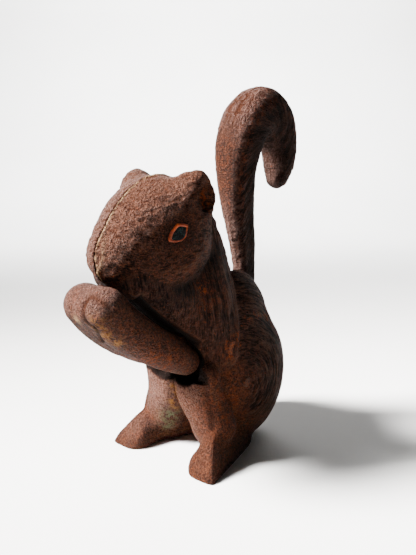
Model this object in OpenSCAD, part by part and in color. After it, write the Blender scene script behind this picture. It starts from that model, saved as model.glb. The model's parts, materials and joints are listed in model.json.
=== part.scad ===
// Squirrel nutcracker in cast iron. Two mirrored body castings are held together by the hinge pin
// and two rivets. One lever casting turns on the pin: its tail is the handle, its forelegs the jaw.
// The squirrel stands on z = 0 and faces -Y, with its left side at +X. Millimetres.

/* [Body castings] */
// Width over the haunches
haunch_w = 48; // [46:0.5:52]
// Width of the head over the eyes
head_w = 38; // [36:0.5:42]
// Distance between the middles of the toes
toe_spread = 42.6; // [40:0.2:46]
// Thickness left around the hollows
wall = 5; // [4:0.5:6]

/* [Lever] */
// Height of the tail's top above the soles
tail_top = 148; // [144:0.5:152]
// Width of the lever's hub and of the web in front of it
hub_w = 12; // [10:0.5:12]
// Outer diameter of the hub
hub_d = 17; // [15:0.5:18]
// Width over both forelegs
jaw_w = 26.6; // [24:0.2:28]
// Side play between the lever and the castings
side_play = 0.5; // [0.3:0.1:0.8]

/* [Pins] */
// Diameter of the hinge pin
pin_d = 6; // [5:0.5:7]
// Radial clearance of the hinge pin in the hub
pin_play = 0.06; // [0.03:0.01:0.1]
// Diameter of the two rivets
rivet_d = 4.4; // [3.6:0.2:5]

/* [Hidden] */
// Distance that puts the origin under the middle of the length
middle_y = 12.35;

iron = "#4a3129";
dark_iron = "#3b2823";
rusty_steel = "#8a4a28";

lump_sides = 28;      // facets round a lump of the casting's skin
limb_sides = 16;      // facets round a limb
true_round = 64;      // sides of the true round bores and pins

pivot = [0, 9, 46];
neck_rivet_at = [0, -4, 73.5];
haunch_rivet_at = [0, 14.5, 31];

haunch_x = 8.5;                       // middle of each haunch
haunch_r = haunch_w / 2 - haunch_x;
toe_x = toe_spread / 2;
slot_x = hub_w / 2 + side_play;       // half width of the slot for the hub and the tail
foreleg_x = jaw_w / 4;                // middle of each foreleg
pocket_x = jaw_w / 2 + side_play;     // half width of the pocket for the forelegs

pin_end = 19.2;       // half length of each pin: it ends flush with the castings
neck_end = 14.4;
haunch_end = 22.4;
chamfer = 0.5;
boss_r = 5;           // radius of the bosses that carry the pins through the hollows
far = 100;            // beyond every side of the animal

// Tail: height at which it leaves the back, and its points [x, y, z, radius] in the mid-plane
tail_root_z = 56;
tail_stretch = (tail_top - tail_root_z) / (148 - tail_root_z);
tail_points = [
    [0, 9, 46, 5.4], [0, 20, 45.5, 5.4], [0, 30, 48.5, 5.4], [0, 37, 56, 5.4],
    [0, 41, 66, 5.3], [0, 40.5, 76, 5.8], [0, 38.3, 88, 6.8], [0, 36, 99, 7.8],
    [0, 34.7, 110, 8.7], [0, 35.8, 121.5, 9.6], [0, 41, 131.5, 10.3], [0, 51, 137.4, 10.6],
    [0, 60.5, 133.5, 9.9], [0, 66, 124, 8.4], [0, 66.6, 115, 6.8], [0, 65.5, 109, 5]
];

// Foreleg: points [x, y, z, radius] from the elbow to the paw
foreleg_points = [
    [foreleg_x, -5, 41.5, 5.4], [foreleg_x, -14, 46.8, 6.6], [foreleg_x - 0.5, -26, 54.5, 7.5],
    [foreleg_x - 1.25, -36, 62.5, 7.7], [foreleg_x - 1.55, -42.4, 69.4, 7.5]
];

// The iron that fills most of the groove between the forelegs
between_forelegs = [[0, -14, 46.8, 5.8], [0, -26, 54.5, 6.7], [0, -36, 62.4, 6.9], [0, -42, 69, 6.7]];

// Legs: the flat front of each thigh is two limbs side by side
inner_leg = [[5, 0.2, 33, 6.4], [6.5, 1.6, 23, 6.6], [11, 3.8, 12, 6.6]];
outer_leg = [[12, 0, 35, 6.2], [12.2, 2.2, 24, 6.8], [15.5, 4.2, 14, 7.4]];

// The V between the feet, in plan, and its sloping roof in the (y, z) plane
arch_plan = [[0, 10], [29.4, -40], [-29.4, -40]];
arch_roof = [[12, -1], [12, 0], [-4, 18], [-40, 58], [-40, -1]];
// What is cut off above the sloping top of the feet
above_foot = [[-14.3, 1], [-2, 16.4], [-2, 60], [-60, 60], [-60, 1]];
// The flat outer side of the foot runs back from this corner, turned in and leaning in by these angles
toe_corner = [toe_x + 6.2, -12.9, 0];
foot_turn = 13.8;
foot_lean = 20.7;

// ---- Smooth limbs ----

function unit(v) = v / norm(v);
function xyz(p) = [p.x, p.y, p.z];
function clamped(i, list) = list[max(0, min(len(list) - 1, i))];

// Catmull-Rom curve between b and c
function between(a, b, c, d, t) =
    (2 * b + (c - a) * t + (2 * a - 5 * b + 4 * c - d) * t * t + (3 * b - a - 3 * c + d) * t * t * t) / 2;

function smooth(points, steps) = concat(
    [for (i = [0 : len(points) - 2], k = [0 : steps - 1])
        between(clamped(i - 1, points), points[i], points[i + 1], clamped(i + 2, points), k / steps)],
    [points[len(points) - 1]]
);

// Each ring is [middle, direction of the limb, radius]; the ends are closed with half balls
function rings(line) = let (
    way = [for (i = [0 : len(line) - 1]) unit(xyz(clamped(i + 1, line)) - xyz(clamped(i - 1, line)))],
    last = len(line) - 1
) concat(
    [for (a = [84, 60, 30]) [xyz(line[0]) - way[0] * line[0][3] * sin(a), way[0], line[0][3] * cos(a)]],
    [for (i = [0 : last]) [xyz(line[i]), way[i], line[i][3]]],
    [for (a = [30, 60, 84])
        [xyz(line[last]) + way[last] * line[last][3] * sin(a), way[last], line[last][3] * cos(a)]]
);

function ring_points(ring) = let (
    u = unit([1, 0, 0] - ring[1].x * ring[1]),
    v = cross(ring[1], u)
) [for (k = [0 : limb_sides - 1])
    let (a = 360 * k / limb_sides) ring[0] + ring[2] * (cos(a) * u + sin(a) * v)];

// A smooth round limb through points [x, y, z, radius]
module limb(points, steps = 2) {
    all = rings(smooth(points, steps));
    n = limb_sides;
    last = (len(all) - 1) * n;
    polyhedron(
        points = [for (r = all) each ring_points(r)],
        faces = concat(
            [[for (k = [0 : n - 1]) k]],
            [for (i = [0 : len(all) - 2], k = [0 : n - 1])
                let (a = i * n + k, b = i * n + (k + 1) % n) [b, a, a + n, b + n]],
            [[for (k = [n - 1 : -1 : 0]) last + k]]
        ),
        convexity = 6
    );
}

// A round lump of the skin, with half sizes r about its middle c
module lump(c, r) {
    translate(c) scale(r) sphere(1, $fn = lump_sides);
}

// A round bar along X through the point p, from x = -half to x = half
module cross_bar(p, r, half) {
    translate([-half, p.y, p.z]) rotate([0, 90, 0]) cylinder(r = r, h = 2 * half, $fn = true_round);
}

// A pin along X with chamfered ends
module pin(p, d, half) {
    translate(p) rotate([0, 90, 0]) rotate_extrude($fn = true_round)
        polygon([
            [0, -half], [d / 2 - chamfer, -half], [d / 2, chamfer - half],
            [d / 2, half - chamfer], [d / 2 - chamfer, half], [0, half]
        ]);
}

// An outline in the (y, z) plane, made into a plate of half width half about x = 0
module side_plate(outline, half) {
    rotate([90, 0, 90]) linear_extrude(2 * half, center = true) polygon(outline);
}

// Moves the animal so that the origin is under the middle of its length
module centred() {
    translate([0, -middle_y, 0]) children();
}

// ---- Body castings ----

module head() {
    lump([0, -12, 96], [head_w / 2, 19, 16]);
    limb([[0, -13, 94.5, head_w / 2 - 1.5], [0, -20, 91, 16.2], [0, -29, 86, 12.8]]);
    lump([8.3, -17, 82.5], [10.5, 14.5, 11]);
    lump([8.5, -10.5, 87], [11, 13, 13.2]);
    difference() {
        limb([[11, -8, 100.5, 8.5], [14.5, -7, 107, 6], [16, -6.8, 111.2, 2.8]]);
        lump([20, -4.8, 107], [4.4, 4.4, 5.6]);
    }
}

module torso() {
    lump([0, 24, 40], [haunch_w / 2 - 4.5, 24.5, 35]);
    lump([haunch_x, 27, 28], [haunch_r, 25.5, 29]);
    lump([0, 25, 53], [16.5, 18, 17.5]);
    lump([0, 3, 62], [17.8, 13.3, 22.4]);
    limb([[6.5, 10.5, 44, 12.7], [5.5, 7.5, 58, 13], [3.6, 4.4, 74, 13.2], [2.2, 0, 90, 12.8]]);
    limb([[3, -3, 58, 11.5], [3.5, -9, 68, 11.5], [3.5, -15, 77, 11]]);
}

module leg() {
    limb(inner_leg);
    limb(outer_leg);
}

module foot() {
    difference() {
        union() {
            limb([[toe_x + 0.3, -4.5, 2.8, 9], [toe_x - 1.8, 4, 5.5, 10], [13, 17, 8, 11]]);
            limb([[toe_x - 2.5, -8.2, 1.6, 6], [toe_x + 3, -8, 1.6, 5.8]]);
        }
        side_plate(above_foot, far);
        translate(toe_corner) rotate([0, -foot_lean, foot_turn]) translate([0, -far, -far])
            cube([far, 2 * far, 2 * far]);
    }
}

// The space between the legs
module arch() {
    intersection() {
        linear_extrude(far, center = true) polygon(arch_plan);
        side_plate(arch_roof, far);
    }
}

// The hollows inside, open to the slot or closed by the other half
module hollows() {
    lump([4, 26, 26], [haunch_w / 2 - 5 - wall, 24 - wall, 24 - wall]);
    lump([0, -12, 94], [head_w / 2 - 1.5 - wall, 18 - wall, 17 - wall]);
}

// Room for the forelegs, from rest to fully open
module foreleg_pocket() {
    side_plate([
        [3.4, 50], [3.4, 37], [1.5, 33], [-3, 31.6], [-14, 32.8], [-50, 33.5],
        [-50, 82.2], [-38.3, 76.8], [-29, 71.7], [-8, 56]
    ], pocket_x);
}

// Room for the hub and the tail's root, from rest to fully open, out of the chest and the back
module lever_slot() {
    side_plate([
        [-8, 33.4], [9, 36], [21, 37.8], [34, 42.2], [46, 52], [far, 66], [far, 130], [19.5, 130],
        [19.5, 75], [17, 63], [9, 58], [-8, 56]
    ], slot_x);
}

// One half of the body, solid and hollowed, as one skin. resize([0, 0, 0]) keeps every size.
module half_skin() {
    resize([0, 0, 0]) difference() {
        intersection() {
            union() {
                head();
                torso();
                leg();
                foot();
            }
            translate([0, -far, 0]) cube([far, 2 * far, 2 * far]);
        }
        difference() {
            hollows();
            cross_bar(haunch_rivet_at, boss_r, far);
        }
        arch();
        foreleg_pocket();
        lever_slot();
    }
}

module casting() {
    difference() {
        half_skin();
        cross_bar(pivot, pin_d / 2, far);
        cross_bar(neck_rivet_at, rivet_d / 2, far);
        cross_bar(haunch_rivet_at, rivet_d / 2, far);
    }
}

module body_left() {
    color(iron) centred() casting();
}

module body_right() {
    color(iron) centred() mirror([1, 0, 0]) casting();
}

// ---- Lever ----

// Height of a tail point, stretched above the back to reach tail_top
function tail_z(z) = z > tail_root_z ? tail_root_z + (z - tail_root_z) * tail_stretch : z;

module tail() {
    limb([for (p = tail_points) [p.x, p.y, tail_z(p.z), p[3]]], 3);
}

module forelegs() {
    limb(foreleg_points, 3);
    mirror([1, 0, 0]) limb(foreleg_points, 3);
    limb(between_forelegs, 3);
}

// The plate that joins the forelegs to the hub
module web() {
    side_plate([[9, 54], [9, 38.5], [-6, 37.5], [-24, 49], [-30, 56], [-24, 58.5], [-8, 51.5]], hub_w / 2);
}

module tail_lever() {
    color(dark_iron) centred() difference() {
        resize([0, 0, 0]) union() {
            tail();
            forelegs();
            web();
            cross_bar(pivot, hub_d / 2, hub_w / 2);
        }
        cross_bar(pivot, pin_d / 2 + pin_play, far);
    }
}

// ---- Pins ----

module pivot_pin() {
    color(rusty_steel) centred() pin(pivot, pin_d, pin_end);
}

module neck_rivet() {
    color(rusty_steel) centred() pin(neck_rivet_at, rivet_d, neck_end);
}

module haunch_rivet() {
    color(rusty_steel) centred() pin(haunch_rivet_at, rivet_d, haunch_end);
}

body_left();
body_right();
tail_lever();
pivot_pin();
neck_rivet();
haunch_rivet();
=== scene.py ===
"""Looks of the cast-iron squirrel nutcracker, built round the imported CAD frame.

The castings are sculpted as distance fields in millimetres, in the squirrel's own axes: it faces -Y, its left is
+X, z = 0 is the plane of the soles and y = 0 lies 9 mm in front of the hinge pin. Each field is meshed, detailed
along its normals with fur, seams, pits and creases, and moved onto the frame at the hinge pin.
"""

import json
import math

import bpy
import numpy as np
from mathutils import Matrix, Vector

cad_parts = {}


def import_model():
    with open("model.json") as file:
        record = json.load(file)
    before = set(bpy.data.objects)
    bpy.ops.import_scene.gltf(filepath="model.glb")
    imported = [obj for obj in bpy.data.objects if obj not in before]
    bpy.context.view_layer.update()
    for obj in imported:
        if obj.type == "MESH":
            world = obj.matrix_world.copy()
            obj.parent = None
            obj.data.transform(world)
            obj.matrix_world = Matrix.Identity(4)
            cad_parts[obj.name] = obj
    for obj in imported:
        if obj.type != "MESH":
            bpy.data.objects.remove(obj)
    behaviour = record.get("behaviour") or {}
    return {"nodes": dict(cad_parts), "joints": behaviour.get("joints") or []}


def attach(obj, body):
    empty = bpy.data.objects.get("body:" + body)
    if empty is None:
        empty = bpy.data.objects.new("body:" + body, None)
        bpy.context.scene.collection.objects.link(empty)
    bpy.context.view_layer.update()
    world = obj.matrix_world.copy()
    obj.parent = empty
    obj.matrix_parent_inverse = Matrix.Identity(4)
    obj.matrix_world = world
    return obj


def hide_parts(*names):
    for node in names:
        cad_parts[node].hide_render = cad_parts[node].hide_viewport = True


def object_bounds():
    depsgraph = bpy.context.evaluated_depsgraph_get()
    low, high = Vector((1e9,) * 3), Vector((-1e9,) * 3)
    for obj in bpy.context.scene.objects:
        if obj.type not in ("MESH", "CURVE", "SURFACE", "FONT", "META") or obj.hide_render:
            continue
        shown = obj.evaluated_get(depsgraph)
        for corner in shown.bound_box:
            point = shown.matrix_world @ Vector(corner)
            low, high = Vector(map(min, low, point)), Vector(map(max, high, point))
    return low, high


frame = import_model()
cad_low, cad_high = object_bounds()

# ---- Frame: where the sculpted millimetres go ----

F32 = np.float32
SCULPT_HEIGHT = 148.0
PIVOT = np.array([0.0, 9.0, 46.0], F32)
MM = (cad_high[2] - cad_low[2]) / SCULPT_HEIGHT
pivot_at = np.array(frame["joints"][0]["pos_m"], F32)
ORIGIN = pivot_at - PIVOT * MM
ORIGIN[2] = cad_low[2]

BODY_STEP = 0.5
LEVER_STEP = 0.45


def to_frame(points):
    """Sculpt millimetres to metres in the row frame."""
    return points * MM + ORIGIN


# ---- Distance fields ----


def vec(*values):
    return np.array(values, F32)


def length(v):
    return np.sqrt((v * v).sum(-1))


def fold(p):
    """The squirrel is symmetric: the right half is looked up on the left."""
    q = p.copy()
    q[..., 0] = np.abs(q[..., 0])
    return q


def join(a, b, soft):
    """Union of two fields, blended over soft millimetres."""
    h = np.maximum(soft - np.abs(a - b), 0) / soft
    return np.minimum(a, b) - h * h * soft * 0.25


def cut(a, b, soft):
    """Field a without b."""
    return -join(-a, b, soft)


def lump(p, middle, size):
    """An ellipsoid with half sizes size."""
    q = (p - vec(*middle)) / vec(*size)
    near, far = length(q), length(q / vec(*size))
    return np.where(far > 1e-6, near * (near - 1) / np.maximum(far, 1e-6), -min(size))


def curve(points, steps):
    """Catmull-Rom curve through the rows of points."""
    rows = np.array(points, F32)
    out = []
    last = len(rows) - 1
    for i in range(last):
        a, b, c, d = rows[max(i - 1, 0)], rows[i], rows[i + 1], rows[min(i + 2, last)]
        for t in np.arange(steps) / steps:
            out.append(
                (2 * b + (c - a) * t + (2 * a - 5 * b + 4 * c - d) * t**2 + (3 * b - a - 3 * c + d) * t**3) / 2
            )
    out.append(rows[last])
    return np.array(out, F32)


def along(p, line):
    """Distance from p to a polyline, and the row values at the nearest point; the last one is the way so far."""
    size = line.shape[1] - 3
    best = np.full(p.shape[:-1], 1e9, F32)
    rows = np.zeros((*p.shape[:-1], size + 1), F32)
    start = 0.0
    for a, b in zip(line[:-1], line[1:]):
        ba = b[:3] - a[:3]
        step = float(np.sqrt(ba @ ba))
        pa = p - a[:3]
        t = np.clip(pa @ ba / (step * step), 0, 1)
        gap = pa - t[..., None] * ba
        d = np.sqrt((gap * gap).sum(-1))
        here = np.concatenate([a[3:] + t[..., None] * (b[3:] - a[3:]), (start + step * t)[..., None]], -1)
        nearer = d - (here[..., 0] if size else 0) < best - (rows[..., 0] if size else 0)
        best = np.where(nearer, d, best)
        rows = np.where(nearer[..., None], here, rows)
        start += step
    return best, rows


def limb(p, points, steps=3):
    """A smooth round limb through rows of x, y, z, radius."""
    d, rows = along(p, curve(points, steps))
    return d - rows[..., 0]


def side_plate(p, outline, half):
    """A plate of the outline in y and z, of half width half about the mid-plane."""
    y, z = p[..., 1], p[..., 2]
    d = np.full(y.shape, 1e9, F32)
    sign = np.ones(y.shape, F32)
    for (ay, az), (by, bz) in zip(outline, outline[-1:] + outline[:-1]):
        ey, ez, wy, wz = by - ay, bz - az, y - ay, z - az
        t = np.clip((wy * ey + wz * ez) / (ey * ey + ez * ez), 0, 1)
        d = np.minimum(d, (wy - ey * t) ** 2 + (wz - ez * t) ** 2)
        above, below, side = z >= az, z < bz, ey * wz > ez * wy
        sign = np.where((above & below & side) | ~(above | below | side), -sign, sign)
    return np.maximum(sign * np.sqrt(d), np.abs(p[..., 0]) - half)


def groove_line(p, points, steps=4):
    """Distance to a smooth line through rows of x, y, z."""
    return along(p, curve(points, steps))[0]


# ---- The squirrel ----

SLOT_HALF = 6.5
HUB_HALF = 6.0
PIN_BORE = 3.1
EYE = (17.2, -19.2, 93.4)

# Rows of x, y, z, and the section's half width along X, half depth and corner radius
TAIL = [
    (0, 9, 46, 5.4, 5.4, 3), (0, 20, 45.5, 5.2, 5.4, 2.6), (0, 30, 48.5, 4.8, 5.5, 2.8), (0, 37, 56, 4.2, 5.6, 3.2),
    (0, 41, 66, 3.6, 5.6, 3.4), (0, 40.5, 76, 3.8, 6, 3.6), (0, 38.3, 88, 4.6, 6.8, 4.3), (0, 36, 99, 5.8, 7.6, 5.4),
    (0, 34.7, 110, 7.1, 8.3, 6.4), (0, 35.8, 121.5, 8.4, 9.4, 7), (0, 41, 131.5, 9.4, 10.2, 8.4),
    (0, 51, 137.2, 9.7, 10.4, 9), (0, 60.5, 133.5, 9.1, 9.9, 8.3), (0, 66, 124, 7.9, 8.4, 7.3),
    (0, 66.6, 115, 6.6, 6.9, 6.1), (0, 65.5, 109, 4.9, 5, 4.6),
]
FORELEG = [
    (6.65, -5, 41.5, 5.4), (6.65, -14, 46.8, 6.6), (6.15, -26, 54.5, 7.5), (5.4, -36, 62.5, 7.7),
    (5.1, -42.4, 69.4, 7.5),
]
BETWEEN_FORELEGS = [(0, -14, 46.8, 5.8), (0, -26, 54.5, 6.9), (0, -36, 62.4, 7.2), (0, -42.6, 69.4, 7.3)]


def turned(p, degrees):
    """Where p is on the lever after the lever has turned by degrees at the pin."""
    c, s = math.cos(math.radians(degrees)), math.sin(math.radians(degrees))
    y, z = p[..., 1] - PIVOT[1], p[..., 2] - PIVOT[2]
    return np.stack([p[..., 0], y * c + z * s + PIVOT[1], z * c - y * s + PIVOT[2]], -1)


def forelegs(p):
    """Both forelegs with the shallow web of iron between them."""
    q = fold(p)
    return join(limb(q, FORELEG), limb(q, BETWEEN_FORELEGS), 1.2)


def head(p):
    q = fold(p)
    d = lump(q, (0, -11.5, 96), (19, 19, 15.4))
    d = join(d, limb(q, [(0, -13, 94, 17.2), (0, -21, 91, 15.8), (0, -29.5, 85.6, 12.4)]), 4)
    d = join(d, lump(q, (8.3, -17, 82.5), (10.3, 14.5, 11)), 5)
    d = join(d, lump(q, (8.5, -10.5, 87), (10.6, 13, 13)), 4)
    ear = join(limb(q, [(10.5, -8, 100.5, 8.5), (14, -7, 107, 5.6), (15.9, -6.8, 111.4, 2.7)]),
               lump(q, (14.6, -7.2, 104.2), (5.4, 8.4, 7.2)), 2.5)
    brow = limb(q, [(6, -14, 103, 6), (12.6, -9.6, 108.3, 5)])
    d = join(d, join(cut(ear, 18.9 - q[..., 0], 1.5), brow, 4), 3)
    return cut(d, lump(q, (21.2, -6.4, 105.2), (5.6, 5.4, 6.2)), 0.6)


def torso(p):
    q = fold(p)
    back = join(lump(q, (0, 24, 40), (19.5, 24.5, 35)), lump(q, (0, 25, 53), (16, 18, 17)), 6)
    d = join(back, lump(q, (8.5, 27, 28), (15.5, 25.5, 29)), 2.5)
    inner = limb(q, [(5, 0.2, 33, 6.4), (6.5, 1.6, 23, 6.6), (11, 3.8, 12, 6.6)])
    outer = limb(q, [(12, 0, 35, 6.2), (12.2, 2.2, 24, 6.8), (15.5, 4.2, 14, 7.4)])
    d = join(d, join(inner, outer, 4), 1.2)
    cape = limb(q, [(6.5, 10.5, 44, 12.5), (5.5, 7.5, 58, 12.8), (3.6, 4.4, 74, 13), (2.2, 0, 90, 12.6)])
    cape = join(cape, lump(q, (0, 3, 62), (17.5, 13, 22)), 5)
    throat = limb(q, [(3, -3, 58, 11.5), (4, -10, 67, 12.2), (4.5, -18, 74, 12), (4.5, -27, 79, 9.5)])
    return join(d, join(cape, throat, 4), 2.2)


def feet(p):
    """Feet whose tops slope down to a straight front edge, with a flat outer side that leans in."""
    q = fold(p)
    d = limb(q, [(21.6, -4.5, 2.8, 9), (19.5, 4, 5.5, 10), (13, 17, 8, 11)])
    toes = limb(q, [(18.8, -8.2, 1.6, 6), (24.3, -8, 1.6, 5.8)])
    top = (-0.78 * (q[..., 1] + 14.3) + 0.62 * q[..., 2]) - 0.6
    outer = (q - vec(27.5, -12.9, 0)) @ vec(0.908, 0.223, 0.353)
    return cut(cut(join(d, toes, 3), -top, 1.2), -outer, 1.2)


def arch(p):
    """The space between the legs: a V in plan under a sloping round roof."""
    q = fold(p)
    side = 0.862 * (q[..., 0] - 14.6) + 0.507 * (q[..., 1] + 14.8)
    roof = 0.76 * (q[..., 1] + 4) + 0.65 * (q[..., 2] - 20.5)
    return cut(side, -roof, 7)


# How far the forelegs' room goes beyond them, in millimetres, at angles of the lever
FORELEG_ROOM = [(0, 0.5), (5, 1.2), (10, 0.8), (16, 0.6)]
NUT_TURN, NUT_ROOM, NUT_FRONT = -4, 0.9, -31
# The slot across the chest that the forelegs lie in: its room, in front of this Y, and its half width
CHEST_ROOM, CHEST_BACK, CHEST_HALF = 2.0, -4, 21


def pocket(p):
    """The forelegs' room in the body over their travel, with the nut's gap above them."""
    flat = p * vec(0, 1, 1)
    across = limb(flat, [(0, *row[1:]) for row in FORELEG]) - CHEST_ROOM
    across = np.maximum(across, np.maximum(np.abs(p[..., 0]) - CHEST_HALF, p[..., 1] - CHEST_BACK))
    nut = np.minimum(forelegs(turned(p, NUT_TURN)) - NUT_ROOM, across)
    d = cut(nut, p[..., 1] - NUT_FRONT, 1)
    for degrees, room in FORELEG_ROOM:
        d = np.minimum(d, forelegs(turned(p, degrees)) - room)
    return d


def slot(p):
    outline = [
        (-8, 31.2), (9, 36), (21, 37.8), (34, 42.2), (46, 52), (100, 66), (100, 130), (19.5, 130), (19.5, 75),
        (17, 63), (9, 58), (-8, 56),
    ]
    return side_plate(p, outline, SLOT_HALF)


def body(p):
    d = join(torso(p), head(p), 1.2)
    d = join(d, feet(p), 2)
    d = cut(d, p[..., 2], 0.4)
    d = cut(d, arch(p), 0.9)
    d = cut(d, pocket(p), 1.4)
    return cut(d, slot(p), 0.8)


SEAM_GAP = 0.04


def half_body(p):
    """The left casting, cut flat at the seam."""
    return cut(body(p), p[..., 0] - SEAM_GAP, 0.5)


def tail(p):
    """The tail: a flat bar at the root that grows round towards the top."""
    flat = p * vec(0, 1, 1)
    d, rows = along(flat, curve(TAIL, 3))
    half, depth, corner = rows[..., 0], rows[..., 1], rows[..., 2]
    x, n = np.abs(p[..., 0]) - half + corner, d - depth + corner
    return np.sqrt(np.maximum(x, 0) ** 2 + np.maximum(n, 0) ** 2) + np.minimum(np.maximum(x, n), 0) - corner


def lever(p):
    q = fold(p)
    web = side_plate(q, [(9, 54), (9, 38.5), (-6, 37.5), (-24, 49), (-30, 56), (-24, 58.5), (-8, 51.5)], HUB_HALF)
    hub = np.maximum(length(p[..., 1:] - PIVOT[1:]) - 8.5, q[..., 0] - HUB_HALF)
    d = join(tail(p), forelegs(p), 1)
    d = join(d, join(web, hub, 1), 1)
    return cut(d, length(p[..., 1:] - PIVOT[1:]) - PIN_BORE, 0.3)


# ---- Meshing: surface nets on the blocks that the surface crosses ----

BLOCK = 8
# How near the surface a block's middle must be, in block widths, and how many blocks are worked out at once
BLOCK_REACH = 1.3
BLOCKS_AT_ONCE = 1500


def sculpt(field, low, high, step):
    """Vertices in sculpt millimetres and quads of the field's surface inside the box."""
    low = np.array(low, F32)
    blocks = np.ceil((np.array(high) - low) / (step * BLOCK)).astype(int)
    grid = np.stack(np.meshgrid(*[np.arange(n) for n in blocks], indexing="ij"), -1).reshape(-1, 3)
    middles = low + (grid + 0.5 - 0.5 / BLOCK) * (BLOCK * step)
    rough = field(middles.astype(F32))
    values = np.broadcast_to(rough.reshape(*blocks, 1, 1, 1), (*blocks, BLOCK, BLOCK, BLOCK)).copy()
    near = np.abs(rough) < BLOCK_REACH * BLOCK * step
    cell = np.stack(np.meshgrid(*[np.arange(BLOCK)] * 3, indexing="ij"), -1).reshape(-1, 3)
    chosen = grid[near]
    for part in np.array_split(chosen, max(1, len(chosen) // BLOCKS_AT_ONCE)):
        points = low + (part[:, None] * BLOCK + cell[None]) * step
        found = field(points.astype(F32)).reshape(-1, BLOCK, BLOCK, BLOCK)
        values[part[:, 0], part[:, 1], part[:, 2]] = found
    shape = blocks * BLOCK
    values = values.transpose(0, 3, 1, 4, 2, 5).reshape(shape)
    inside = values < 0
    count = np.zeros(shape - 1, np.uint8)
    corners = [(i, j, k) for i in (0, 1) for j in (0, 1) for k in (0, 1)]
    for i, j, k in corners:
        count += inside[i : shape[0] - 1 + i, j : shape[1] - 1 + j, k : shape[2] - 1 + k]
    active = (count > 0) & (count < 8)
    cells = np.argwhere(active)
    index = np.full(active.shape, -1, np.int64)
    index[active] = np.arange(len(cells))
    at = {c: values[cells[:, 0] + c[0], cells[:, 1] + c[1], cells[:, 2] + c[2]] for c in corners}
    total = np.zeros((len(cells), 3))
    hits = np.zeros(len(cells))
    for a in corners:
        for axis in range(3):
            if a[axis]:
                continue
            b = tuple(1 if n == axis else a[n] for n in range(3))
            crosses = (at[a] < 0) != (at[b] < 0)
            t = np.where(crosses, at[a] / np.where(crosses, at[a] - at[b], 1), 0)
            point = np.array(a, float)[None] + t[:, None] * (np.array(b) - np.array(a))[None]
            total += np.where(crosses[:, None], point, 0)
            hits += crosses
    points = (low + (cells + total / hits[:, None]) * step).astype(F32)
    quads = []
    for axis in range(3):
        u, v = (axis + 1) % 3, (axis + 2) % 3
        first = inside[tuple(slice(0, shape[n] - 1) if n == axis else slice(1, shape[n] - 1) for n in range(3))]
        second = inside[tuple(slice(1, shape[n]) if n == axis else slice(1, shape[n] - 1) for n in range(3))]
        where = np.argwhere(first != second)
        where[:, u] += 1
        where[:, v] += 1
        flip = ~first[first != second]
        ring = []
        for du, dv in ((0, 0), (-1, 0), (-1, -1), (0, -1)):
            c = where.copy()
            c[:, u] += du
            c[:, v] += dv
            ring.append(index[c[:, 0], c[:, 1], c[:, 2]])
        ring = np.stack(ring, 1)
        ring[flip] = ring[flip][:, ::-1]
        quads.append(ring)
    return points, np.concatenate(quads)


def slope(field, p, reach=0.15):
    """Unit normals of the field at p."""
    n = np.stack([field(p + vec(*e)) - field(p - vec(*e)) for e in np.eye(3) * reach], -1)
    return n / np.maximum(length(n), 1e-9)[:, None]


def settle(field, points, step):
    """Moves the points onto the surface."""
    for _ in range(2):
        d = np.clip(field(points), -0.5 * step, 0.5 * step)
        points = points - d[:, None] * slope(field, points)
    return points.astype(F32)


# ---- Noise ----


def lattice(ix, iy, iz, seed):
    """A repeatable random value from 0 to 1 at each lattice corner."""
    h = ix * np.uint32(374761393) + iy * np.uint32(668265263) + iz * np.uint32(2147483647) + np.uint32(seed * 974711)
    h = (h ^ (h >> np.uint32(13))) * np.uint32(1274126177)
    h = h ^ (h >> np.uint32(16))
    return (h & np.uint32(65535)).astype(F32) / 65535


def noise(p, seed=0):
    """Smooth value noise from -1 to 1, one lattice cell per unit."""
    cell = np.floor(p)
    f = (p - cell).astype(F32)
    f = f * f * f * (f * (f * 6 - 15) + 10)
    c = cell.astype(np.int64).astype(np.uint32)
    total = np.zeros(len(p), F32)
    for i in (0, 1):
        for j in (0, 1):
            for k in (0, 1):
                w = 1.0
                for n, bit in enumerate((i, j, k)):
                    w = w * (f[:, n] if bit else 1 - f[:, n])
                total += w * lattice(c[:, 0] + np.uint32(i), c[:, 1] + np.uint32(j), c[:, 2] + np.uint32(k), seed)
    return total * 2 - 1


def grain(p, size, octaves=3, seed=0):
    """Layered noise whose largest bumps are size millimetres."""
    total, weight = 0, 0
    for n in range(octaves):
        amount = 0.55**n
        total = total + amount * noise(p / size * 2**n + 31.7 * n, seed + n)
        weight += amount
    return total / weight


def rise(x, start, end):
    """0 before start, 1 after end, smooth between."""
    t = np.clip((x - start) / (end - start), 0, 1)
    return t * t * (3 - 2 * t)


def bell(x, width):
    return np.exp(-((x / width) ** 2))


# ---- Detail: heights along the normal, in millimetres, and what the materials read ----


def strands(flow, width, seed):
    """Ridges of hair along the third coordinate of flow."""
    a = noise(flow / vec(width, width, width * 7), seed)
    b = noise(flow / vec(width * 0.55, width * 0.55, width * 5), seed + 5)
    return 0.65 * a + 0.35 * b


def body_flow(p, is_head):
    """Hair over the body: in level rows on the face, down the neck and shoulders, and round the haunches."""
    x, y, z = p[:, 0], p[:, 1], p[:, 2]
    angle = np.arctan2(z - 30, y - 14)
    radius = np.hypot(z - 30, y - 14)
    round_haunch = np.stack([x * 0.7, radius, angle * 24], -1)
    down_neck = np.stack([x * 0.7 + 0.1 * z, y + 0.16 * z, z], -1)
    level = np.stack([z + 1.5 * np.sin(y / 6), 0.3 * x, 2.6 * (y + np.abs(x))], -1)
    behind = shoulder_side(p)
    flow = np.where(behind[:, None] > 0.5, round_haunch, down_neck)
    return np.where(is_head[:, None] > 0.5, level, flow)


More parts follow.
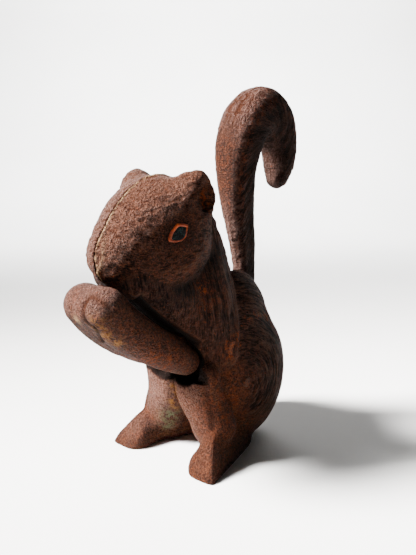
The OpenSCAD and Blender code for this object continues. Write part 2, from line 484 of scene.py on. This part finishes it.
# Heights and Y of the ridge that ends the fur of the neck, down over the shoulder
RIDGE = [(90, 6.5), (83.5, 10.2), (76.5, 12.6), (64, 13.4), (52, 12.4), (40, 9)]
MOUTH = [(0.5, -37.5, 76.2), (3.5, -38.6, 76.8), (6.8, -38, 79.6), (9.9, -36.6, 83.2)]
JAW = [(4, -27, 70.5), (8, -22.6, 70.4), (14.7, -16.9, 73.7), (16.5, -8, 77), (15.7, 1.9, 83)]
NOSE = [(2.6, -39.8, 92.1), (3.4, -41, 87), (2.2, -41.4, 83.2), (0.6, -41.1, 81)]
KNEE = [(14.6, -5, 37.7), (16.2, -3.7, 29.3), (17.7, -2.2, 22), (18.4, -2.5, 16.3)]
TOE_LINES = [
    [(22.6, -16, 1), (22.3, -12.5, 11), (21.4, -4, 14.6)],
    [(26.6, -13.5, 1), (26.2, -10.5, 9.5), (25, -3, 12.6)],
    [(18.4, -15, 1), (18.3, -11.5, 10.5), (17.8, -4, 14.4)],
]
PAW_FOLD = [(4.4, -48.1, 74.3), (3, -49, 72.3), (3, -49.6, 70.1), (3.3, -49.2, 66.7), (6, -47.4, 63.7),
            (1.5, -41, 57.4)]
PAW_HOOK = [(3, -49.4, 71), (4.6, -47.8, 74.6), (8, -47.4, 74), (11.4, -45.7, 71.7)]
BELLY_STAIN = [(-1.6, -4.8, 30), (-0.2, -2.8, 27), (-2.7, -3.1, 20.4), (-2.4, -1.3, 17.8)]
PAW_STAIN = [(7.6, -48, 67), (7, -46.5, 63), (9, -42, 58)]
HAUNCH_RUST = [(0, 12, 51), (0, 22, 55.5), (0, 34, 52.5), (0, 43, 44)]
EYE_REACH = 9.0


def shoulder_side(p):
    """1 behind the shoulder ridge, 0 in front of it."""
    z = np.array([row[0] for row in RIDGE][::-1])
    y = np.array([row[1] for row in RIDGE][::-1])
    edge = np.interp(p[:, 2], z, y)
    return rise(p[:, 1], edge - 0.4, edge + 0.4)


def shoulder_ridge(q):
    """Distance to the shoulder ridge, in the side view."""
    return groove_line(q * vec(0, 1, 1), [(0, y, z) for z, y in RIDGE])


def face_dimples(p):
    """Rows of short punched dashes that stand for the fur of the face."""
    rows = np.stack([p[:, 0] / 2.2, p[:, 1] / 2.2, (p[:, 2] + 1.5 * np.sin(p[:, 1] / 6)) / 0.95], -1)
    return noise(rows, 8)


def body_detail(p, n):
    """Height and masks of the left or right casting."""
    x, y, z = p[:, 0], p[:, 1], p[:, 2]
    q = fold(p)
    clear = np.minimum(pocket(p), slot(p))
    eye = rise(length(q - vec(*EYE)), 0.6 * EYE_REACH, EYE_REACH)
    outside = rise(clear, 0.4, 1.6) * rise(q[:, 0], 0.05, 0.5) * rise(z, 0.2, 1.2) * eye
    is_head = rise(torso(p) - head(p), -0.8, 0.8)
    furry = (1 - is_head) * np.clip(rise(z, 34, 44) + rise(y, 12, 20) * rise(z, 10, 20), 0, 1)
    flow = body_flow(p, is_head)
    hair = strands(flow, 1.35, 3) * furry * (0.35 + 0.65 * rise(noise(p / 9, 40), -0.5, 0.4))
    pits = rise(noise(p / 1.5, 23), 0.4, 0.85)
    relief = 0.5 * hair + 0.2 * face_dimples(p) * is_head + 0.04 * grain(p, 3.2, 3, 11)
    relief = (relief + 0.1 * grain(p, 1.1, 2, 17) - 0.06 * pits) * outside
    ridge = bell(shoulder_ridge(q), 1.4) * (1 - is_head) * outside
    # The joint between the castings: a gap, with a lip of flash on the left one that widens towards the nose
    front = rise(-y, -4, 2) * rise(clear, 0.2, 1.2)
    lip = rise(-q[:, 0], -1.5 - 0.6 * rise(-z, -104, -86), -0.7) * front
    joint = bell(q[:, 0], 0.5) * front
    nose = bell(groove_line(q, NOSE), 0.7)
    mouth = bell(groove_line(q, MOUTH), 1.1)
    under_jaw = groove_line(q, JAW)
    jaw = bell(under_jaw, 1.5)
    knee = bell(groove_line(q, KNEE), 1.5)
    toes = 0
    for line in TOE_LINES:
        toes = np.maximum(toes, bell(groove_line(q, line), 0.75))
    creases = 0.7 * mouth + 0.5 * jaw + 0.5 * knee + 0.45 * toes
    height = relief + 0.15 * grain(p, 14, 2, 29) * eye + 0.8 * ridge
    height += lip * np.where(x > 0, 0.55, 0.1) - 0.55 * joint + 0.4 * nose - creases * outside
    # Painted shade: near black round the eye, in a wide band under the jaw and on the walls of the pocket and the
    # slot
    eye_shade = 0.55 * rise(-length((q - vec(*EYE)) / vec(1, 1, 0.8)), -8.5, -4.5)
    crevice_shade = np.maximum(0.6 * rise(-under_jaw, -8, -2), rise(-clear, -1.1, -0.1))
    masks = {
        "relief": relief + 0.3 * ridge + 0.2 * nose - 0.4 * creases * outside - 0.5 * joint,
        "chalk": np.clip(lip * bell(q[:, 0] - 0.8, 0.45) * is_head + 0.3 * nose, 0, 1) * (x > 0),
        "rust": rust_places(p, q),
        "ochre": bell(groove_line(p, BELLY_STAIN), 1.8),
        "green": bell(length(p - vec(-5.4, -1.4, 13.7)), 4) + 0.8 * bell(length(p - vec(-7.9, -0.1, 7.6)), 3),
        "dark": np.maximum(eye_shade, crevice_shade),
        "wear_and_sheen": wear_and_sheen_places(q, n, is_head),
        # The fur zones, which the material also darkens as painted shade
        "hair": furry * outside,
        "strand": (furry + 0.7 * is_head) * outside,
    }
    return height, masks, flow


def rust_places(p, q):
    """Orange rust in the ears, on the neck, over the haunch and round the hinge pin."""
    ear = 1.2 * bell(length(q - vec(16.5, -4, 103)), 3.4)
    pin = bell(np.hypot(p[:, 1] - PIVOT[1], p[:, 2] - PIVOT[2]) - 3.6, 1.6) * rise(q[:, 0], 8, 12)
    thigh = 0.7 * bell(groove_line(q * vec(0, 1, 1), HAUNCH_RUST), 1.8)
    leg = 0.7 * bell(length((q - vec(17, 3, 26)) / vec(1, 1, 1.3)), 9)
    chest = 0.4 * bell(length(q - vec(14, -3, 68)), 9)
    neck = 0.9 * bell(length(q - vec(15, -6, 72)), 2.6)
    return np.clip(ear + 0.7 * (pin + thigh + leg + chest) + neck, 0, 1)


def wear_and_sheen_places(q, n, is_head):
    """Where hands have rubbed the patina smoother and paler; on the faces of the head that turn up and forward it is
    also painted sheen.
    """
    forehead = is_head * rise(n[:, 2] * 0.6 - n[:, 1] * 0.7, 0.2, 0.9)
    knee = bell(length((q - vec(9, -4, 26)) / vec(1, 1, 1.6)), 9.5)
    toe = bell(length(q - vec(21, -12, 10)), 7)
    return np.clip(0.8 * forehead + knee + 0.6 * toe, 0, 1)


def tail_flow(p):
    """Hair on the tail runs back from the front ridge, then up along it."""
    flat = p * vec(0, 1, 1)
    line = curve(TAIL, 3)
    d, rows = along(flat, line)
    way = rows[:, 3]
    ahead = np.where(side_of(flat, line), 1.0, -1.0)
    offset = -d * ahead
    turn = np.clip(offset / np.maximum(rows[:, 1], 1), -1, 1)
    slant = way - 5.5 * (turn + 1) ** 1.6
    return np.stack([p[:, 0] * 0.35, slant * 0.62, offset * 1.6 + way * 0.25], -1), turn, way


def side_of(flat, line):
    """True on the front and outer side of the tail's line."""
    best = np.full(len(flat), 1e9)
    front = np.zeros(len(flat), bool)
    for a, b in zip(line[:-1], line[1:]):
        ba, pa = (b - a)[1:3], flat[:, 1:] - a[1:3]
        t = np.clip(pa @ ba / (ba @ ba), 0, 1)
        gap = pa - t[:, None] * ba
        d = length(gap)
        cross = ba[0] * gap[:, 1] - ba[1] * gap[:, 0]
        nearer = d < best
        best = np.where(nearer, d, best)
        front = np.where(nearer, cross > 0, front)
    return front


def lever_detail(p, n):
    """Height and masks of the lever casting."""
    x, y, z = p[:, 0], p[:, 1], p[:, 2]
    q = fold(p)
    on_tail = rise(y, 26, 32)
    on_arm = rise(-y, 2, 8)
    flow, turn, way = tail_flow(p)
    hair = strands(flow, 1.5, 60) * on_tail
    pits = rise(noise(p / 1.5, 80), 0.4, 0.85)
    free = np.maximum(on_tail, on_arm)
    relief = 0.34 * hair + 0.04 * grain(p, 3.0, 3, 70) + 0.1 * grain(p, 1.1, 2, 75) - 0.06 * pits
    ridge = bell(x, 0.8) * on_tail * rise(-turn, 0.5, 0.75) * rise(-z, -108, -96)
    parting = bell(q[:, 0] - 2.2, 0.8) * on_tail * rise(-turn, 0.45, 0.7) * rise(z, 100, 108)
    creases = on_arm * np.maximum(bell(groove_line(p, PAW_FOLD), 0.9), bell(groove_line(p, PAW_HOOK), 1.0))
    wrinkles = bell(np.sin((y * 0.75 + z * 0.66) * 1.3) - 1, 0.5) * on_arm * rise(y, -34, -28)
    flash = bell(x, 0.8) * on_arm * rise(-z, -66, -58)
    height = relief * (0.25 + 0.75 * free) + 0.15 * grain(p, 13, 2, 85) * free
    height += 0.45 * ridge + 0.35 * flash - 0.4 * parting - 0.6 * creases - 0.12 * wrinkles
    masks = {
        "relief": relief + 0.3 * ridge - 0.35 * creases - 0.3 * parting,
        "chalk": 0.9 * bell(length(p - vec(-1.7, -48.5, 66.3)), 1.5),
        "rust": np.clip(0.35 * bell(turn + 0.55, 0.35) * on_tail * rise(z, 92, 104)
                        + 0.6 * bell(length(q - vec(9, -24, 48)), 9)
                        + 0.3 * bell(length(p - vec(-3.1, -48.7, 72.9)), 3), 0, 1),
        "ochre": bell(groove_line(p, PAW_STAIN), 2.6),
        "green": 0 * x,
        # Painted shade down the back of the tail, the side turned away from the light
        "dark": 0.5 * on_tail * rise(turn, -0.7, 0.1),
        # Paler where the forelegs' tops and the tail's front face up and forward: rubbed wear and painted sheen
        "wear_and_sheen": np.clip(0.75 * on_arm * rise(n[:, 2] * 0.8 - n[:, 1] * 0.6, 0.1, 0.8) * rise(-y, 24, 36)
                        + on_tail * rise(n[:, 2] * 0.6 - n[:, 1], 0.2, 0.9), 0, 1),
        # The whole tail counts as fur and takes the same painted shade
        "hair": on_tail,
        "strand": on_tail,
    }
    return height, masks, flow


# ---- Blender pieces ----


def meshed(field, box, step):
    """Points on the field's surface, the normals there and the quads between them."""
    points, quads = sculpt(field, *box, step)
    points = settle(field, points, step)
    return points, slope(field, points, 0.35), quads


def casting(shape, detail, mirrored=False):
    """The meshed shape with its detail; the right half is the left's mirror image with its own grain."""
    points, n, quads = shape
    if mirrored:
        mirror = vec(-1, 1, 1)
        points, n, quads = points * mirror, n * mirror, quads[:, ::-1]
    height, masks, flow = detail(points, n)
    return points + n * height[:, None], quads, masks, flow


def mesh_object(name, points, faces, material):
    """A smooth-shaded object from sculpt millimetres."""
    data = bpy.data.meshes.new(name)
    data.from_pydata(to_frame(points), [], faces)
    data.polygons.foreach_set("use_smooth", np.ones(len(faces), bool))
    data.materials.append(material)
    made = bpy.data.objects.new(name, data)
    bpy.context.scene.collection.objects.link(made)
    return made


def show(name, casting_data, material, body_name, node):
    """The piece that stands for a CAD node, with its masks and flow as attributes."""
    points, quads, masks, flow = casting_data
    piece = mesh_object(name, points, quads, material)
    for key, values in masks.items():
        layer = piece.data.attributes.new(key, "FLOAT", "POINT")
        layer.data.foreach_set("value", np.asarray(values, F32))
    layer = piece.data.attributes.new("flow", "FLOAT_VECTOR", "POINT")
    layer.data.foreach_set("vector", flow.astype(F32).ravel())
    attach(piece, body_name)
    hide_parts(node)


# The eye in the cheek's tangent plane: corners of its slanted outline, backwards and up from its middle
EYE_CORNERS = [(-4.5, -1.5), (-3.8, 0.4), (-2.6, 1.9), (-1.1, 3.3), (0.6, 3.4), (2.9, 2.9), (3.1, 2.5), (2.7, 0.6),
               (2.1, -1.2), (0, -2.6), (-3.4, -2.6), (-4.4, -2)]
# The dark middle sits low and back in the outline
EYE_SHIFT = (0.8, -0.6)
EYE_STEPS = 6
# Share of the way from the middle to the outline, and height over the cheek in millimetres
RIM_PROFILE = [(1.05, -0.7), (1.01, 0.08), (0.95, 0.26), (0.88, 0.34), (0.81, 0.3), (0.75, 0.12), (0.71, -0.7)]
ENAMEL_PROFILE = [(0.8, -0.7), (0.78, 0.02), (0.6, 0.1), (0.35, 0.2), (0.12, 0.24)]


def eye_axes():
    """The eye's middle on the cheek, and the directions out, back and up there."""
    middle = settle(head, vec(*EYE)[None], 20)
    for _ in range(6):
        middle = settle(head, middle, 20)
    out = slope(head, middle)[0]
    back = np.cross(out, vec(0, 0, 1))
    back = back / length(back)
    up = np.cross(back, out)
    if back[1] < 0:
        back = -back
    return middle[0], out, back, up if up[2] > 0 else -up


def eye_outline():
    """Smooth closed outline of the eye, as offsets in the tangent plane."""
    rows = [(a, b, 0) for a, b in EYE_CORNERS]
    closed = curve(rows[-1:] + rows + rows[:2], EYE_STEPS)
    return closed[EYE_STEPS : -EYE_STEPS, :2][:-1]


def eye_part(name, profile, capped, side, material):
    """A ring or a cap on the cheek, its rows spaced over the profile."""
    middle, out, back, up = eye_axes()
    outline = eye_outline()
    points = []
    for share, height in profile:
        spread = outline * share + vec(*EYE_SHIFT) * (1 - share)
        flat = middle + spread[:, :1] * back + spread[:, 1:] * up
        on_skin = flat.astype(F32)
        for _ in range(4):
            on_skin = settle(head, on_skin, 4)
        points.append(on_skin + slope(head, on_skin, 0.6) * height)
    points = np.concatenate(points) * vec(side, 1, 1)
    count, rows = len(outline), len(profile)
    faces = [
        (row * count + i, row * count + (i + 1) % count, (row + 1) % rows * count + (i + 1) % count,
         (row + 1) % rows * count + i)
        for row in range(rows - 1 if capped else rows) for i in range(count)
    ]
    if capped:
        faces += [tuple(range(count))[::-1], tuple(range((rows - 1) * count, rows * count))]
    if side < 0:
        faces = [face[::-1] for face in faces]
    piece = mesh_object(name, points, faces, material)
    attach(piece, "body")


# ---- Materials ----


class Tree:
    """Short calls for one material's nodes: a socket argument is linked, anything else is set."""

    def __init__(self, name):
        self.material = bpy.data.materials.new(name)
        self.material.use_nodes = True
        self.nodes = self.material.node_tree.nodes
        self.links = self.material.node_tree.links
        self.shader = self.nodes["Principled BSDF"]

    def feed(self, socket, value):
        if isinstance(value, bpy.types.NodeSocket):
            self.links.new(value, socket)
        else:
            socket.default_value = value

    def node(self, kind, inputs=(), output=0, **settings):
        made = self.nodes.new(kind)
        for key, value in settings.items():
            setattr(made, key, value)
        for key, value in dict(inputs).items():
            self.feed(made.inputs[key], value)
        return made.outputs[output]

    def mask(self, name):
        return self.node("ShaderNodeAttribute", output="Fac", attribute_name=name)

    def place(self):
        return self.node("ShaderNodeTexCoord", output="Object")

    def flow(self):
        return self.node("ShaderNodeAttribute", output="Vector", attribute_name="flow")

    def stretched(self, vector, scale):
        return self.node("ShaderNodeVectorMath", {0: vector, 1: scale}, operation="MULTIPLY")

    def noise(self, vector, scale, detail=4.0, roughness=0.6):
        return self.node("ShaderNodeTexNoise", {"Vector": vector, "Scale": scale, "Detail": detail,
                                                "Roughness": roughness}, output="Fac")

    def span(self, value, low, high, to_low=0.0, to_high=1.0):
        return self.node("ShaderNodeMapRange", {0: value, 1: low, 2: high, 3: to_low, 4: to_high}, clamp=True)

    def calc(self, operation, a, b):
        return self.node("ShaderNodeMath", {0: a, 1: b}, operation=operation, use_clamp=True)

    def sum(self, a, b):
        return self.node("ShaderNodeMath", {0: a, 1: b}, operation="ADD")

    def product(self, a, b):
        return self.node("ShaderNodeMath", {0: a, 1: b}, operation="MULTIPLY")

    def mix(self, factor, a, b):
        return self.node("ShaderNodeMix", {0: factor, 6: a, 7: b}, output=2, data_type="RGBA")

    def mix_value(self, factor, a, b):
        return self.node("ShaderNodeMix", {0: factor, 2: a, 3: b}, output=0, data_type="FLOAT")

    def bump(self, height, distance, strength=1.0):
        return self.node("ShaderNodeBump", {"Height": height, "Distance": distance, "Strength": strength})

    def finish(self, colour, roughness, metallic, normal=None, gloss=0.5):
        self.feed(self.shader.inputs["Base Color"], colour)
        self.feed(self.shader.inputs["Roughness"], roughness)
        self.feed(self.shader.inputs["Metallic"], metallic)
        if normal is not None:
            self.feed(self.shader.inputs["Normal"], normal)
        self.feed(self.shader.inputs["Specular IOR Level"], gloss)
        return self.material


def rgb(red, green, blue):
    """A display colour, 0 to 255, as linear values."""
    def linear(c):
        c = c / 255
        return c / 12.92 if c < 0.04045 else ((c + 0.055) / 1.055) ** 2.4
    return (linear(red), linear(green), linear(blue), 1.0)


# The tones of old iron under its patina and its rubbed and sheened places, and the dark tones of painted shade
DEEP_BROWN, CHESTNUT, ORANGE_GRIT = rgb(42, 19, 9), rgb(72, 34, 13), rgb(78, 36, 14)
GRAIN_TIP, GRAIN_PIT, FUR_SHADE = rgb(88, 50, 32), rgb(14, 6, 3), rgb(28, 11, 5)
RUST, OCHRE, CHALK, VERDIGRIS = rgb(120, 52, 14), rgb(116, 74, 30), rgb(140, 112, 82), rgb(80, 82, 56)
SOOT, PIT_WEAR_AND_SHEEN, PAINTED_SHADE_BLACK = rgb(9, 5, 3), rgb(52, 24, 10), rgb(5, 3, 2)


def cast_iron(name, patina, wear_and_sheen, drift):
    """Old cast iron: reddish-brown patina with a sandy grain, black recesses, rubbed ridges, spots of rust, painted
    sheen where it is worn and painted shade on the fur and in crevices.
    """
    t = Tree(name)
    place = t.node("ShaderNodeVectorMath", {0: t.place(), 1: (drift, drift, drift)}, operation="ADD")
    clouds = t.noise(place, 45, 3)
    patches = t.noise(place, 190, 5, 0.65)
    spots = t.noise(place, 480, 4, 0.7)
    grit = t.noise(place, 850, 2, 0.7)
    sand = t.noise(place, 1500, 2, 0.75)
    hair = t.noise(t.stretched(t.flow(), (1.9, 1.9, 0.12)), 1.0, 2, 0.6)
    furry = t.mask("hair")
    strand = t.product(t.mask("strand"), t.span(hair, 0.38, 0.62, -0.26, 0.2))
    relief = t.sum(t.mask("relief"), strand)

    def patchy(mask, share, low, high):
        """The mask broken up into spots and grains."""
        return t.calc("MULTIPLY", t.mask(mask), t.span(t.sum(spots, t.product(sand, share)), low, high))

    colour = t.mix(t.span(clouds, 0.4, 0.62, 0, 0.6), patina, DEEP_BROWN)
    colour = t.mix(t.span(patches, 0.5, 0.72, 0, 0.55), colour, CHESTNUT)
    colour = t.mix(t.span(grit, 0.52, 0.38, 0, 0.6), colour, ORANGE_GRIT)
    colour = t.mix(t.span(sand, 0.52, 0.64, 0, 0.45), colour, GRAIN_TIP)
    colour = t.mix(t.span(sand, 0.49, 0.36, 0, 0.75), colour, GRAIN_PIT)
    # Painted shade: the fur on neck, shoulders, haunches, back and the whole tail goes darker
    colour = t.mix(t.calc("MULTIPLY", furry, 0.6), colour, FUR_SHADE)
    ridge = t.span(relief, 0.04, 0.36)
    # Paler on ridges and on the worn mask: rubbed wear, and painted sheen where faces turn up and forward
    colour = t.mix(t.calc("MULTIPLY", ridge, 0.35), colour, wear_and_sheen)
    colour = t.mix(t.calc("MULTIPLY", t.mask("wear_and_sheen"), t.span(sand, 0.38, 0.6, 0.15, 0.8)), colour, wear_and_sheen)
    rust = patchy("rust", 0.4, 0.68, 0.84)
    stray = t.span(t.sum(t.noise(place, 420, 4, 0.8), t.product(sand, 0.4)), 0.84, 0.95, 0, 0.7)
    colour = t.mix(t.calc("MAXIMUM", rust, stray), colour, RUST)
    colour = t.mix(patchy("ochre", 0.3, 0.58, 0.76), colour, OCHRE)
    chalk = patchy("chalk", 0.6, 0.66, 0.86)
    colour = t.mix(chalk, colour, CHALK)
    colour = t.mix(patchy("green", 0.4, 0.62, 0.8), colour, VERDIGRIS)
    recess = t.span(relief, 0.0, -0.34)
    colour = t.mix(t.calc("MULTIPLY", recess, 0.9), colour, t.mix(t.mask("wear_and_sheen"), SOOT, PIT_WEAR_AND_SHEEN))
    # Painted shade: the dark mask turns crevices, the band under the jaw, the eye's surround and the back of the
    # tail near black
    colour = t.mix(t.calc("MULTIPLY", t.mask("dark"), 0.92), colour, PAINTED_SHADE_BLACK)

    dull = t.calc("MAXIMUM", t.calc("MAXIMUM", rust, t.mask("dark")), t.calc("MAXIMUM", chalk, recess))
    rubbed = t.calc("MULTIPLY", t.mask("wear_and_sheen"), t.span(sand, 0.42, 0.6))
    roughness = t.mix_value(dull, t.mix_value(rubbed, 0.7, 0.38), 1.0)
    metallic = t.mix_value(dull, t.mix_value(ridge, 0.0, 0.12), 0.0)
    skin = t.sum(t.product(grit, 0.6), t.product(sand, 0.8))
    skin = t.sum(skin, t.product(t.mask("strand"), hair))
    return t.finish(colour, roughness, metallic, t.bump(skin, 0.0034), gloss=0.06)


def rusty_steel(name, dark_rust, pale_rust):
    """The pins: two tones of rust with dark oily specks on the peened ends."""
    t = Tree(name)
    place = t.place()
    patches = t.noise(place, 480, 5, 0.7)
    specks = t.noise(place, 1800, 3)
    colour = t.mix(t.span(patches, 0.4, 0.6), dark_rust, pale_rust)
    colour = t.mix(t.span(specks, 0.45, 0.62), colour, rgb(22, 13, 10))
    roughness = t.mix_value(patches, 0.55, 0.85)
    return t.finish(colour, roughness, t.span(patches, 0.7, 0.5, 0.0, 0.2), t.bump(specks, 0.0004), gloss=0.1)


def eye_paint():
    t = Tree("eye_paint")
    place = t.place()
    patches = t.noise(place, 620, 4, 0.6)
    chips = t.noise(place, 1500, 3, 0.7)
    colour = t.mix(t.span(patches, 0.35, 0.65), rgb(140, 58, 15), rgb(98, 34, 9))
    colour = t.mix(t.span(chips, 0.58, 0.68), colour, rgb(50, 20, 10))
    return t.finish(colour, t.mix_value(patches, 0.4, 0.6), 0.0, t.bump(chips, 0.0002), gloss=0.2)


def eye_enamel():
    t = Tree("eye_enamel")
    place = t.place()
    clouds = t.noise(place, 700, 3, 0.6)
    crackle = t.noise(place, 1500, 3, 0.6)
    # Teal clouds in the black are painted glints
    colour = t.mix(t.span(clouds, 0.48, 0.6), rgb(3, 3, 4), rgb(24, 35, 34))
    return t.finish(colour, t.mix_value(crackle, 0.25, 0.45), 0.0, t.bump(crackle, 0.0006), gloss=0.05)


def studio_paper():
    t = Tree("studio_paper")
    fibres = t.noise(t.place(), 900, 4)
    tone = t.noise(t.place(), 6, 2)
    colour = t.mix(t.span(tone, 0.3, 0.7), (0.66, 0.655, 0.645, 1), (0.7, 0.695, 0.685, 1))
    return t.finish(colour, t.mix_value(fibres, 0.85, 0.95), 0.0)


# ---- The castings ----

# Patina, the colour of rubbed wear and painted sheen, and a shift of the noise, for each casting
iron_left = cast_iron("iron_left", rgb(47, 23, 12), rgb(84, 54, 41), 0.0)
iron_right = cast_iron("iron_right", rgb(47, 24, 14), rgb(97, 69, 59), 0.7)
iron_lever = cast_iron("iron_lever", rgb(45, 23, 13), rgb(90, 64, 56), 1.3)

HALF_BOX = ((-0.9, -50, -1.5), (33, 53, 117))
LEVER_BOX = ((-16, -52, 34), (16, 77, 150))

half_shape = meshed(half_body, HALF_BOX, BODY_STEP)
for side, iron in (("left", iron_left), ("right", iron_right)):
    data = casting(half_shape, body_detail, mirrored=side == "right")
    show(f"casting_{side}", data, iron, "body", f"body_{side}")
lever_shape = meshed(lever, LEVER_BOX, LEVER_STEP)
show("casting_lever", casting(lever_shape, lever_detail), iron_lever, "lever", "tail_lever")

# ---- Eyes and pins ----

paint, enamel = eye_paint(), eye_enamel()
for name, side in (("left", 1), ("right", -1)):
    eye_part(f"eye_rim_{name}", RIM_PROFILE, False, side, paint)
    eye_part(f"eye_{name}", ENAMEL_PROFILE, True, side, enamel)

hinge_steel = rusty_steel("hinge_steel", rgb(68, 32, 14), rgb(98, 46, 16))
rivet_steel = rusty_steel("rivet_steel", rgb(46, 24, 14), rgb(66, 34, 17))
for node, steel in (("pivot_pin", hinge_steel), ("neck_rivet", rivet_steel), ("haunch_rivet", rivet_steel)):
    pin = frame["nodes"][node]
    pin.data.materials.clear()
    pin.data.materials.append(steel)

# ---- Studio ----

# The paper in metres: its half width, where it starts to rise, the radius of the rise and its height
FLOOR_SIZE = 2.4
FLOOR_BEHIND = 0.55
SWEEP, SWEEP_STEPS = 0.35, 12
BACK_HEIGHT = 1.6


def studio():
    """Floor and wall as one paper sweep behind the squirrel."""
    turn = math.radians(AZIMUTH)
    away = np.array([-math.sin(turn), math.cos(turn)])
    across = np.array([math.cos(turn), math.sin(turn)])
    profile = [(-FLOOR_SIZE, 0.0), (FLOOR_BEHIND, 0.0)]
    for step in range(1, SWEEP_STEPS + 1):
        a = math.pi / 2 * step / SWEEP_STEPS
        profile.append((FLOOR_BEHIND + SWEEP * math.sin(a), SWEEP * (1 - math.cos(a))))
    profile.append((FLOOR_BEHIND + SWEEP, BACK_HEIGHT))
    floor_z = float(cad_low[2])
    points, faces = [], []
    for side in (-FLOOR_SIZE, FLOOR_SIZE):
        for far, up in profile:
            ground = away * far + across * side
            points.append((ground[0], ground[1], floor_z + up))
    count = len(profile)
    for i in range(count - 1):
        faces.append((i, i + count, i + 1 + count, i + 1))
    data = bpy.data.meshes.new("paper_sweep")
    data.from_pydata(points, [], faces)
    for face in data.polygons:
        face.use_smooth = True
    data.materials.append(studio_paper())
    sweep = bpy.data.objects.new("paper_sweep", data)
    bpy.context.scene.collection.objects.link(sweep)


# The camera: its direction in degrees, its distance and target in sculpt millimetres, its lens in millimetres
AZIMUTH, ELEVATION = 40.0, 12.0
DISTANCE = 239.0
LOOK_AT = (4.3, 11.4, 71.4)
FOCAL, SENSOR = 38.92, 36
# What the lights stand round, what the key light is aimed at, and the spot on the wall that the backdrop lights
LIGHTS_ROUND = (0, 9, 75)
KEY_TARGET = (0, -8, 104)
WALL_HEIGHT, WALL_FAR = 160, 850


def direction(azimuth, elevation):
    """Unit vector from the squirrel towards a view."""
    a, e = math.radians(azimuth), math.radians(elevation)
    return np.array([math.sin(a) * math.cos(e), -math.cos(a) * math.cos(e), math.sin(e)])


def aim(thing, place, target):
    thing.location = place
    thing.rotation_mode = "QUATERNION"
    thing.rotation_quaternion = Vector(np.array(target) - np.array(place)).to_track_quat("-Z", "Y")


def camera():
    data = bpy.data.cameras.new("camera")
    data.lens = FOCAL
    data.sensor_width = SENSOR
    data.clip_start, data.clip_end = 0.01, 20
    thing = bpy.data.objects.new("camera", data)
    bpy.context.scene.collection.objects.link(thing)
    target = to_frame(vec(*LOOK_AT))
    aim(thing, target + direction(AZIMUTH, ELEVATION) * DISTANCE * MM, target)
    bpy.context.scene.camera = thing


def softbox(name, azimuth, elevation, far, size, power, spread, target, tint):
    """An area light, far metres from the squirrel, that shines within spread degrees towards target."""
    data = bpy.data.lights.new(name, "AREA")
    data.shape = "RECTANGLE"
    data.size, data.size_y = size
    data.energy = power
    data.spread = math.radians(spread)
    data.color = tint
    thing = bpy.data.objects.new(name, data)
    bpy.context.scene.collection.objects.link(thing)
    aim(thing, to_frame(vec(*LIGHTS_ROUND)) + direction(azimuth, elevation) * far, to_frame(vec(*target)))


def world(tint, strength):
    made = bpy.data.worlds.new("studio")
    made.use_nodes = True
    background = made.node_tree.nodes["Background"]
    background.inputs["Color"].default_value = (*tint, 1)
    background.inputs["Strength"].default_value = strength
    bpy.context.scene.world = made


studio()
camera()
wall = tuple(vec(0, 9, WALL_HEIGHT) - direction(AZIMUTH, 0) * WALL_FAR)
softbox("key", azimuth=-44, elevation=40, far=1.0, size=(0.28, 0.4), power=9.3, spread=30, target=KEY_TARGET,
        tint=(1.0, 0.98, 0.96))
softbox("backdrop", azimuth=AZIMUTH + 180, elevation=60, far=0.95, size=(0.9, 0.3), power=30, spread=100,
        target=wall, tint=(1.0, 1.0, 1.0))
world(tint=(1.0, 0.95, 0.9), strength=0.02)
